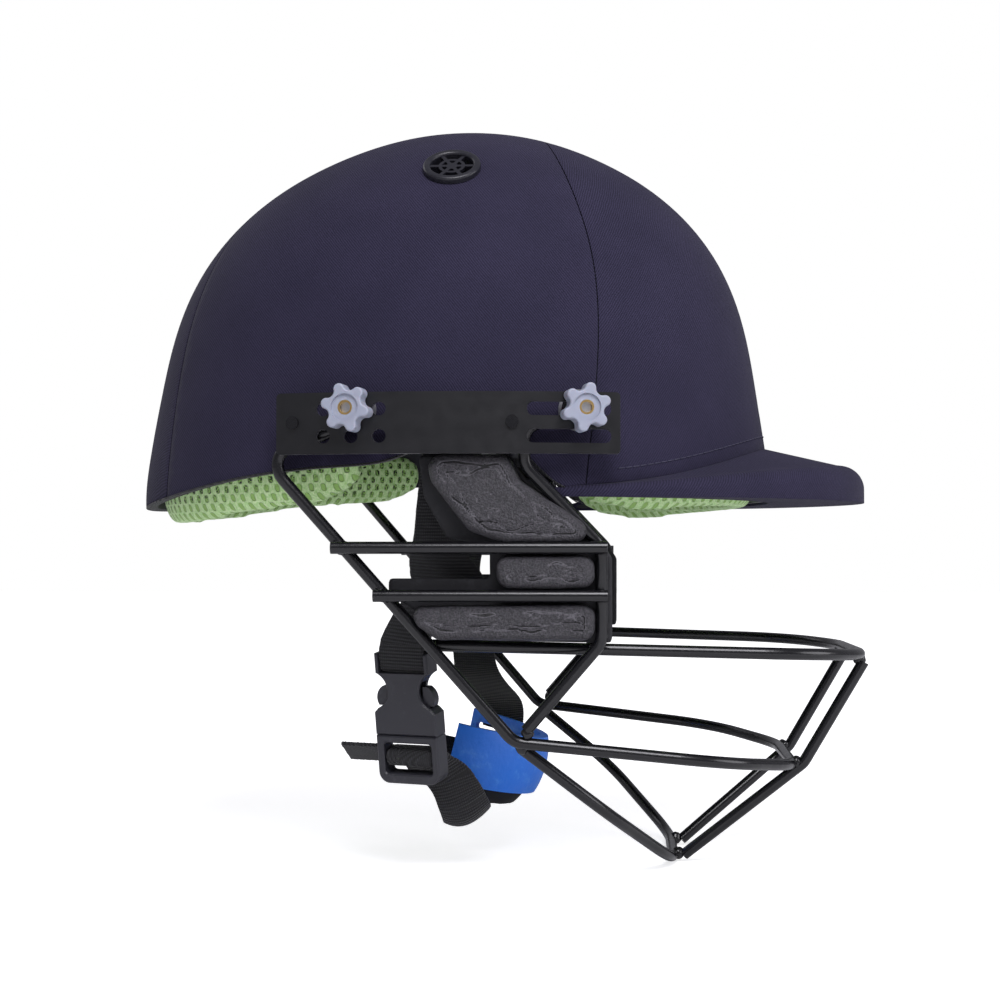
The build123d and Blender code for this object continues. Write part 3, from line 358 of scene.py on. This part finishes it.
def spacer_mesh(name, round_head):
    finish = Finish(name, Roughness=0.85, sheen_weight=0.2)
    place = finish.place
    x, y, z = (place.axis(number) for number in range(3))
    if round_head:
        across, up = x.math("ARCTAN2", y, x) * head_radius, z
    else:
        across, up = x, y
    columns = (across * (2 * pi / hole_pitch_across)).cosine()
    rows = (up * (2 * pi / hole_pitch_up)).cosine()
    hole = (columns * rows).between(0.1, 0.45)
    strands = place.stretched((1.0, 1.0, 0.45)).grain(0.7, 3.0, 0.7)
    knit = strands.between(0.3, 0.7).colours((0.44, 0.78, 0.24), (0.8, 1.0, 0.58))
    # Painted shade under the shell: the holes are darkened in dots from a little below the rim
    # upwards.
    shade_dots = place.grain(0.7, 1.0).between(0.46, 0.56)
    below_rim = x * 0.16 + 17.0 - z
    rim_shade = shade_dots * (1 - below_rim.between(7.0, 11.0))
    tone = hole.colours(knit, rim_shade.colours((0.34, 0.6, 0.15), (0.012, 0.035, 0.01)))
    finish.set(base_color=tone, normal=((1 - hole) * 0.7 + strands * 0.3).relief(0.9))
    return finish.material


band_mesh = spacer_mesh("spacer_mesh_round", True)
crown_mesh = spacer_mesh("spacer_mesh_flat", False)

# %% [markdown]
# ## Creased skin of the cheek pads
# The cheek pads are moulded foam with a skin like old leather: fine grain all over, and
# longer creases that catch the light. The creases are real grooves in the mesh, made further
# down. There each point of the mesh also stores how deep it lies in a crease, and this
# finish reads that number: the rims of a crease get a painted highlight, and its floor painted
# shade.

# %% Creased skin
finish = Finish("creased_skin", specular_ior_level=0.7)
place = finish.place
crease = place.stored("crease")
pores = place.grain(0.75, 3.0, 0.65)
tone = (pores.between(0.35, 0.72) * 0.8).colours((0.018, 0.017, 0.021), (0.1, 0.094, 0.11))
# Painted highlight: the rims of each crease are made lighter.
tone = (crease.between(0.1, 0.35) * 0.55).colours(tone, (0.24, 0.23, 0.26))
# Painted shade: the floor of each crease is made dark.
tone = crease.between(0.3, 0.6).colours(tone, (0.006, 0.006, 0.007))
finish.set(base_color=tone, roughness=pores * 0.25 + 0.24, normal=pores.relief(1.3))
creased_skin = finish.material

# %% [markdown]
# ## Webbing, tape and thread
# Webbing is woven with ribs across its width. Each mesh of webbing carries a number that says
# how far along the strap a point lies, in millimetres, so that the ribs follow every fold.
# The tape round the rim has no such number: its ribs run along a slanting direction.


# %% Webbing, tape and thread
yarn_pitch = 0.9


def woven(name, dark, light, pitch, from_strap):
    finish = Finish(name, Roughness=0.78, sheen_weight=0.15)
    place = finish.place
    if from_strap:
        run, cross = place.stored("run"), place.stored("cross")
    else:
        run = place.along((0.7, 0.7, 0.14))
        cross = place.along((0.1, 0.1, 1.0))
    ribs = run.wave(pitch)
    yarns = cross.wave(yarn_pitch)
    height = ribs * 0.75 + yarns * ribs * 0.25
    fuzz = place.grain(0.5, 2.0)
    tone = (yarns * ribs * fuzz * 1.5).colours(dark, light)
    finish.set(base_color=tone, normal=height.relief(0.3))
    return finish.material


black_webbing = woven("black_webbing", (0.004, 0.004, 0.0045), (0.04, 0.04, 0.048), 1.35, True)
edge_tape = woven("edge_tape", (0.005, 0.005, 0.007), (0.03, 0.03, 0.036), 0.9, False)
navy_thread = moulded("navy_thread", (0.04, 0.037, 0.07), (0.075, 0.07, 0.115), 0.6, 0.4, 0.05)
print("finishes:", len(bpy.data.materials))

# %% [markdown]
# ## Dressing the hard parts
# The hard parts keep their CAD meshes. Only their material slots are filled here.

# %% Hard parts
hard_finishes = {
    shell_plastic: ["shell", "peak"],
    vent_plastic: ["crown_vent_right", "crown_vent_left"],
    liner_foam: ["impact_liner"],
    plate_coat: ["side_plate_right", "side_plate_left"],
    rivet_coat: ["plate_rivets"],
    zinc_steel: ["clamp_screws", "strap_rivets"],
    washer_nylon: ["clamp_washers"],
    wire_coat: [name for name in nodes if name.startswith(("grille_", "cheek_bar_"))],
    knob_nylon: [name for name in nodes if name.startswith("star_knob_")],
    turned_brass: [name for name in nodes if name.startswith("knob_insert_")],
    buckle_acetal: ["buckle_socket", "buckle_plug", "prong_front", "prong_rear"],
    cup_rubber: ["chin_cup"],
}
for material, names in hard_finishes.items():
    for name in names:
        nodes[name].data.materials.clear()
        nodes[name].data.materials.append(material)
print("hard parts dressed:", sum(len(names) for names in hard_finishes.values()))

# %% [markdown]
# ## Soft parts from even meshes
# A CAD solid has sharp edges and long thin triangles, and soft things have neither. Voxel
# remeshing turns the solid into an even grid of small faces, and smoothing that rounds the
# edges as foam and cloth do. Each piece then stands for its solid and rides where it did.


# %% Soft piece helper
def own_mesh(piece):
    """Replaces a piece's mesh by what its modifiers make of it."""
    graph = bpy.context.evaluated_depsgraph_get()
    made = bpy.data.meshes.new_from_object(piece.evaluated_get(graph))
    piece.modifiers.clear()
    piece.data = made
    made.shade_smooth()


def moved(piece, shape):
    """Moves each point of a piece by what shape says for its place and normal."""
    normals = [vertex.normal.copy() for vertex in piece.data.vertices]
    for vertex, normal in zip(piece.data.vertices, normals):
        vertex.co += shape(vertex.co, normal)
    piece.data.update()


def dressed(piece, node, finish):
    """Gives a piece its finish, and lets it stand for its CAD node and ride where that did."""
    piece.data.materials.clear()
    piece.data.materials.append(finish)
    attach(piece, nodes[node]["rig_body"])
    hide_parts(node)
    return piece


def soft_piece(node, name, finish, voxel, rounds, shape=None):
    """A soft copy of a node. voxel is the size of its faces in millimetres, rounds is how often
    they are smoothed, and shape moves its points."""
    piece = new_object(name, nodes[node].data.copy())
    even = piece.modifiers.new("even", "REMESH")
    even.mode, even.voxel_size = "VOXEL", voxel * mm
    rounded = piece.modifiers.new("rounded", "SMOOTH")
    rounded.factor, rounded.iterations = 0.5, rounds
    own_mesh(piece)
    if shape:
        moved(piece, shape)
    return dressed(piece, node, finish)


# %% [markdown]
# ## Pads round the head and on the crown
# The nape roll, the brow roll and the crown pad are foam in green mesh. The cloth round
# them is blown up by a little pressure in a short simulation, as foam fills its cover. No
# point may go far or out towards the shell. Afterwards the roll is drawn in at the lines
# where it is tacked down, which a simulation this coarse would lose.


# %% Head pads
pad_voxel, pad_swell, tuck_depth, tucks_round_head = 3.0, 2.2, 0.9, 18


def swollen(piece, most):
    """Blows up a pad's cloth for 20 frames and moves each point by most at the furthest, and
    never out towards the shell."""
    start = [vertex.co.copy() for vertex in piece.data.vertices]
    cloth = piece.modifiers.new("swell", "CLOTH")
    cloth.settings.use_pressure = True
    cloth.settings.uniform_pressure_force = 4.0
    cloth.settings.effector_weights.gravity = 0.0
    for tick in range(1, 21):
        bpy.context.scene.frame_set(tick)
    own_mesh(piece)
    for vertex, before in zip(piece.data.vertices, start):
        move = vertex.co - before
        outward = Vector((before.x, before.y, 0.5 * before.z)).normalized()
        move -= outward * max(0.0, move.dot(outward))
        vertex.co = before + move * min(1.0, most / max(move.length, 1e-9))
    bpy.context.scene.frame_set(1)


def tacked(point, normal):
    """Sinks the pad a little at evenly spaced lines round the head."""
    angle = atan2(point.y, point.x)
    dip = max(0.0, cos(angle * tucks_round_head)) ** 8
    inward = Vector((-point.x, -point.y, 0)).normalized()
    return -normal * (tuck_depth * mm * dip) * max(0.0, normal.dot(inward))


def head_pad(node, finish, shape=None):
    pad = soft_piece(node, node + "_mesh", finish, pad_voxel, 2)
    swollen(pad, pad_swell * mm)
    finer = pad.modifiers.new("finer", "SUBSURF")
    finer.levels = finer.render_levels = 1
    own_mesh(pad)
    if shape:
        moved(pad, shape)
    print(pad.name, len(pad.data.vertices), "points")


head_pad("nape_pad", band_mesh, tacked)
head_pad("brow_pad", band_mesh, tacked)
head_pad("crown_pad", crown_mesh)

# %% [markdown]
# ## Cheek foam
# Thin black sheet foam lies inside the wires, and three thicker pads with a creased skin
# are glued on it between the wires. The pads swell between their edges, so each face is
# crowned and slightly lumpy. Creases could come from a bump in the finish, but real grooves
# also show from the side. Each is a line at a wavering distance from the pad's edge.


# %% Cheek foam
low_pad_height = 20.0


def share(value, low, high):
    """Where a value lies between two others, from 0 to 1."""
    return max(0.0, min(1.0, (value - low) / (high - low)))


def waver(x, y, z, size, shift=0.0):
    """Smooth noise, about -1 to 1, whose lumps are about size millimetres across."""
    return noise.noise(Vector((x / size, y / size, z / size + shift)))


def crease_depths(points):
    """How deep each point lies in the skin's creases, from 0 to 1. Most follow the pad's edge,
    on a low pad some run along its middle, and short ones branch off inside."""
    heights = [vertex.co.z / mm for vertex in points]
    middle = (min(heights) + max(heights)) / 2
    low_pad = max(heights) - min(heights) < low_pad_height
    edge = [vertex for vertex in points if abs(vertex.normal.y) < 0.6]
    tree = KDTree(len(edge))
    for index, vertex in enumerate(edge):
        tree.insert(vertex.co, index)
    tree.balance()
    depths = []
    for vertex in points:
        x, y, z = vertex.co / mm
        inset = tree.find(vertex.co)[2] / mm
        outer = abs(inset - 2.6 - 1.6 * waver(x, y, z, 6)) / 0.55
        if low_pad:
            line = middle - 1.2 + 3.6 * noise.noise(Vector((x / 11, y / 11, middle)))
            inner = abs(z - line) / 0.45 + share(inset, 3.2, 2.0)
        else:
            inner = abs(inset - 4.9 - 2.8 * waver(x, y, z, 8, 7)) / 0.5
        branch = abs(waver(x, y, z * 2, 7)) / 0.08 + 0.3
        deep = 1 - min(outer, inner, branch if inset > 2.2 else 1.0)
        depths.append(max(0.0, deep) * share(waver(x, y, z, 8, 3), -0.3, 0.2))
    return depths


def lumpy(point, normal):
    """The chin cup's foam is slightly uneven."""
    return normal * mm * 0.3 * noise.noise(point / (9 * mm))


def sheet_hem(point, normal):
    """The sheet's lower edge sags by 2.4 mm onto the wire below it."""
    return Vector((0, 0, -2.4 * mm * share(point.z / mm, -56, -61)))


def cheek_pad(node, front, rear):
    """A creased pad. Foam gives, so its ends reach a little further than those of its solid:
    front and rear say how far, in millimetres, at the pad's top and at its bottom."""
    pad = soft_piece(node, node + "_skin", creased_skin, 0.6, 7)
    points = pad.data.vertices
    depths = crease_depths(points)
    normals = [vertex.normal.copy() for vertex in points]
    lengthwise, upright = ([vertex.co[axis] for vertex in points] for axis in (0, 2))
    back, tip, bottom, top = min(lengthwise), max(lengthwise), min(upright), max(upright)
    for vertex, normal, depth in zip(points, normals, depths):
        swell = 0.9 + 0.4 * noise.noise(vertex.co / (9 * mm)) - 0.9 * depth
        forward, down = share(vertex.co.x, back, tip), share(vertex.co.z, top, bottom)
        front_reach = front[0] + (front[1] - front[0]) * down
        rear_reach = rear[0] + (rear[1] - rear[0]) * down
        reach = forward * front_reach - (1 - forward) * rear_reach
        vertex.co += mm * (normal * swell + Vector((reach, 0, 0)))
    stored = pad.data.attributes.new("crease", "FLOAT", "POINT")
    stored.data.foreach_set("value", depths)


for side in ("right", "left"):
    sheet = soft_piece(f"cheek_sheet_{side}", f"cheek_foam_sheet_{side}", sheet_foam,
                       0.8, 1, sheet_hem)
    cheek_pad(f"cheek_pad_upper_{side}", (3.5, 8.5), (0.0, 0.0))
    cheek_pad(f"cheek_pad_middle_{side}", (0.0, 0.0), (0.0, 0.0))
    cheek_pad(f"cheek_pad_lower_{side}", (0.5, 0.5), (5.0, 2.0))
cup_lining = soft_piece("chin_cup_pad", "chin_cup_foam", cup_foam, 0.9, 3, lumpy)
print("pads done")

# %% [markdown]
# ## Webbing
# Webbing keeps its thickness of 1.6 mm, so it needs small voxels. The distance along the
# strap is measured on a line through its middle and stored on the mesh for the ribs. The CAD
# straps hang straight. Limp webbing bows back and forward as it hangs, so the points of the
# two side straps are moved along the helmet, by an amount that depends on their height.


# %% Webbing
half_webbing_width, curl, curl_height = 10.0, 4.5, 20.0


def bowed(stops, height):
    """How far a strap lies forward at a height. Each stop holds a height and how far."""
    for (above, first), (below, second) in zip(stops, stops[1:]):
        if below <= height <= above:
            way = share(height, above, below)
            return first + (second - first) * way * way * (3 - 2 * way)
    return 0.0


def along_line(stops, point):
    """How far along a chain of stops the place nearest to a point lies."""
    nearest, travelled = None, 0.0
    for a, b in zip(stops, stops[1:]):
        way = min(1.0, max(0.0, (point - a).dot(b - a) / (b - a).length_squared))
        apart = (point - a.lerp(b, way)).length
        if nearest is None or apart < nearest[0]:
            nearest = apart, travelled + (b - a).length * way
        travelled += (b - a).length
    return nearest[1]


def strap(node, name, line, width_way, bow=(), fold=None):
    """Webbing along a line of points. bow holds the stops of its bow. fold is the lowest height
    of a fold whose corners curl up."""
    piece = soft_piece(node, name, black_webbing, 0.55, 1)
    stops = [Vector(point) for point in line]
    run = piece.data.attributes.new("run", "FLOAT", "POINT")
    cross = piece.data.attributes.new("cross", "FLOAT", "POINT")
    sideways = Vector(width_way).normalized()
    for vertex in piece.data.vertices:
        point = vertex.co / mm
        run.data[vertex.index].value = along_line(stops, point)
        cross.data[vertex.index].value = point.dot(sideways)
        vertex.co.x += bowed(bow, point.z) * mm
    if fold:
        widths = [stored.value for stored in cross.data]
        middle = sum(widths) / len(widths)
        for vertex, width in zip(piece.data.vertices, widths):
            off_middle = (width - middle) / half_webbing_width
            low = share(vertex.co.z / mm, fold + curl_height, fold)
            vertex.co.z += curl * mm * off_middle ** 2 * low


buckle_way = (0.927, -0.375, 0.0)
strap("strap_web_right", "webbing_right",
      [(0, -99, 32), (0, -99, 10), (0, -81.5, -35), (0, -73, -64), (0, -72, -78)],
      (1, 0, 0), ((12, 0), (-25, -6), (-44, 9.5), (-69, 0)))
strap("strap_web_left", "webbing_left",
      [(6, 99, 32), (6, 98, 12), (4.5, 91.5, -20), (2.8, 83.5, -53), (1.5, 75, -83),
       (-3, 40, -112)],
      (1, 0, 0), ((12, 0), (-36, -11.5), (-80, 0)))
strap("chin_web", "webbing_loop",
      [(-8, -66, -110), (2, -57, -121), (7, -53, -133), (8.5, -48, -139.5), (6.5, -40, -138.5),
       (6, -36, -108)],
      (0.97, 0.0, 0.22), fold=-140)
strap("strap_tail", "webbing_tail",
      [(-10, -76, -110), (-11, -70, -106), (-20, -50, -112), (-26, -32, -115)], buckle_way)
print("webbing done")

# %% [markdown]
# ## Cloth panels
# The twill is glued to the shell and turned over at its edges, so each panel's edge is
# round, not cut square. Each panel is a copy of its solid with the sharp edges bevelled.


# %% Cloth panels
fold_radius, same_point = 0.45 * mm, 0.002 * mm


def panel(node, name, finish):
    """A cloth piece over its solid."""
    piece = new_object(name, nodes[node].data.copy())
    body = bmesh.new()
    body.from_mesh(piece.data)
    bmesh.ops.remove_doubles(body, verts=body.verts, dist=same_point)
    body.to_mesh(piece.data)
    body.free()
    bevel = piece.modifiers.new("turned_edge", "BEVEL")
    bevel.width, bevel.segments, bevel.angle_limit = fold_radius, 2, radians(50)
    own_mesh(piece)
    dressed(piece, node, finish)
    return piece


front = panel("cover_front", "front_cloth", front_twill)
panel("cover_rear", "rear_cloth", rear_twill)
right = panel("cover_right", "right_cloth", side_twill)
left = panel("cover_left", "left_cloth", side_twill)
panel("peak_cover", "peak_cloth", peak_twill)
panel("rim_binding", "rim_tape", edge_tape)

# %% [markdown]
# ## Stitching
# A line of stitches runs above the root of the peak, from ear to ear. Each stitch is a short
# capsule of thread. A ray sent at the cloth from in front finds where each one lies.


# %% Stitching
corners, faces = [], []
for cloth in (front, right, left):
    shift = len(corners)
    corners += [vertex.co for vertex in cloth.data.vertices]
    faces += [[index + shift for index in face.vertices] for face in cloth.data.polygons]
cloth_tree = BVHTree.FromPolygons(corners, faces)


def fused(body, name, finish):
    """A smooth piece of the helmet from what has been built in a bmesh."""
    mesh = bpy.data.meshes.new(name)
    body.to_mesh(mesh)
    body.free()
    mesh.shade_smooth()
    mesh.materials.append(finish)
    piece = new_object(name, mesh)
    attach(piece, "helmet")


def capsule(body, start, end, radius):
    """A round-ended bar of thread between two points."""
    run = end - start
    turn = run.to_track_quat("Z", "Y").to_matrix().to_4x4()
    made = bmesh.ops.create_uvsphere(body, u_segments=6, v_segments=4, radius=radius)["verts"]
    for vertex in made:
        if vertex.co.z > 0:
            vertex.co.z += run.length
        vertex.co = start + turn @ vertex.co


def stitches(name, places, radius):
    """Thread laid on the cloth between each place and the next, with gaps between."""
    body = bmesh.new()
    for (here, up), (there, _) in zip(places[::2], places[1::2]):
        lift = up * radius * 0.35
        capsule(body, here + lift, there + lift, radius)
    fused(body, name, navy_thread)
    print(name, len(places) // 2, "stitches")


def on_cloth(start, way):
    """Where a ray first meets the cloth, and the way that the cloth faces there."""
    hit, normal, _, _ = cloth_tree.ray_cast(Vector(start), Vector(way).normalized())
    if hit is None:
        return None
    if normal.dot(Vector(way)) > 0:
        normal = -normal
    return hit, normal


def even_places(points, stitch, gap):
    """Places along a chain of hits: the start and the end of each stitch in turn."""
    out, travelled, target, putting_down = [], 0.0, 0.0, True
    for (a, up), (b, _) in zip(points, points[1:]):
        step = (b - a).length
        while step > 0 and travelled + step >= target:
            out.append((a.lerp(b, (target - travelled) / step), up))
            target += stitch if putting_down else gap
            putting_down = not putting_down
        travelled += step
    return out


crown_height = 153
root_at_ears, rise_to_brow, above_root = -0.042 * crown_height + 3, 19.5, 5.0
face_centre, ray_start = 0.041, 0.2
stitch_length, stitch_gap, thread_radius = 2.4 * mm, 0.9 * mm, 0.28 * mm
peak_line = []
for tenth in range(-720, 721, 4):
    angle = radians(tenth / 10)
    height = (root_at_ears + rise_to_brow * cos(angle) ** 2 + above_root) * mm
    out = Vector((cos(angle), sin(angle), 0))
    found = on_cloth(Vector((face_centre, 0, height)) + out * ray_start, -out)
    if found:
        peak_line.append(found)
stitches("peak_stitching", even_places(peak_line, stitch_length, stitch_gap), thread_radius)

# %% [markdown]
# ## Weld beads
# Where two wires meet, the weld leaves a small lumpy bead under the black coat. Each is a
# roughened ball, sunk halfway between the two wires. The guard's side frames lean, so two
# short functions say where they are at a height.


# %% Weld beads
def frame_half_width(z):
    """How far a side frame lies from the middle of the helmet at a height."""
    return 105.0 + 0.1 * z


def rear_wire(z):
    """How far forward the slanting rear wire of a side frame lies at a height."""
    return -58.8 + 89.8 * (0.8 - z) / 102.7


upper_bar, lower_bar, top_bar = -27.2, -45.5, -64.8
outside, inside, front_wire = 2.2, -2.3, 64.7
welds = [
    (rear_wire(upper_bar), frame_half_width(upper_bar) + outside, upper_bar, 3.4),
    (rear_wire(lower_bar), frame_half_width(lower_bar) + outside, lower_bar, 3.4),
    (front_wire, frame_half_width(upper_bar) + outside, upper_bar, 3.0),
    (front_wire, frame_half_width(lower_bar) + outside, lower_bar, 3.0),
    (rear_wire(top_bar), frame_half_width(top_bar) + inside, top_bar, 3.2),
    (62.5, frame_half_width(-65.5) + inside, -65.8, 3.0),
    (36.0, 95.2, -98.5, 2.9),
    (33.8, 92.3, -104.3, 2.9),
    (169.5, 35.0, -72.3, 3.2),
    (143.8, 34.0, -115.3, 3.2),
    (95.2, 21.0, -155.0, 3.2),
]
bead_radius, bead_lumps, lump_size = 0.84 * mm, 0.22, 2.2 * mm
body = bmesh.new()
for x, y, z, size in welds:
    for side in (-1, 1):
        ball = bmesh.ops.create_icosphere(body, subdivisions=3, radius=bead_radius * size)["verts"]
        for vertex in ball:
            rough = 1 + bead_lumps * noise.noise(vertex.co / lump_size + Vector((x, z, side)))
            vertex.co = vertex.co * rough + Vector((x, side * y, z)) * mm
fused(body, "weld_beads", wire_coat)
print("weld beads:", 2 * len(welds))

# %% [markdown]
# ## Floor, backdrop and light
# The helmet stands on a plain pale floor, which the camera sees as white away from it. The
# world is white to the camera alone and a grey room to the object, so that black plastic and
# steel stay black between their highlights. A wide lamp above and in front, and weaker ones
# behind and to the side, give the soft light of a product picture.

# %% Floor and light
floor_level, floor_reach = cad_low.z - 0.4 * mm, 6
floor_corners = [(x * floor_reach, y * floor_reach, floor_level)
                 for x, y in ((-1, -1), (1, -1), (1, 1), (-1, 1))]
floor_mesh = bpy.data.meshes.new("floor")
floor_mesh.from_pydata(floor_corners, [], [(0, 1, 2, 3)])
floor = new_object("floor", floor_mesh)
floor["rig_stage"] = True
paint = Finish("pale_floor", base_color=(0.86, 0.86, 0.87), Roughness=0.9, emission_color=(1, 1, 1))
paint.shader.inputs["Emission Strength"].default_value = 1.0
distance = paint.place.node("VectorMath", {"operation": "LENGTH"}, {0: paint.place}, 1)
far = distance.between(250.0, 700.0)
camera_ray = paint.place.node("LightPath")
paint.set(emission_color=(camera_ray * (far * 0.3 + 0.7)).colours((0, 0, 0), (1, 1, 1)))
floor_mesh.materials.append(paint.material)

world = bpy.data.worlds.new("white_room")
world.use_nodes = True
bpy.context.scene.world = world
light_path = world.node_tree.nodes.new("ShaderNodeLightPath")
seen = Signal(light_path.outputs["Is Camera Ray"])
background = world.node_tree.nodes["Background"]
plug(background.inputs["Color"], seen.colours((0.25, 0.25, 0.27), (1, 1, 1)))
background.inputs["Strength"].default_value = 1.0


def lamp(name, place, aim, size, power):
    light = bpy.data.lights.new(name, "AREA")
    light.shape, light.size, light.energy = "DISK", size, power
    light.color = (0.96, 0.95, 1.0)
    made = new_object(name, light)
    made.location = place
    made.rotation_euler = (Vector(aim) - Vector(place)).to_track_quat("-Z", "Y").to_euler()


lamp("key_light", (0.25, -0.9, 0.95), (0.02, 0, 0), 0.8, 14)
lamp("rear_light", (-0.9, 0.5, 0.8), (0, 0, 0), 0.8, 1.5)
lamp("front_light", (1.1, -0.3, 0.3), (0, 0, -0.03), 0.7, 3.5)
print("stage ready")

# %% [markdown]
# ## Check the size and finish
# The cloth makes the dressed helmet a little larger than the CAD model's box; how far it grew on
# each side is printed, in millimetres. The dressed helmet must stay within the CAD model's box,
# apart from a little for cloth.

# %% Finish
visual_low, visual_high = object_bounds()
grown = [*(cad_low - visual_low), *(visual_high - cad_high)]
print("grown by mm, low and high sides:", [round(v / mm, 2) for v in grown])
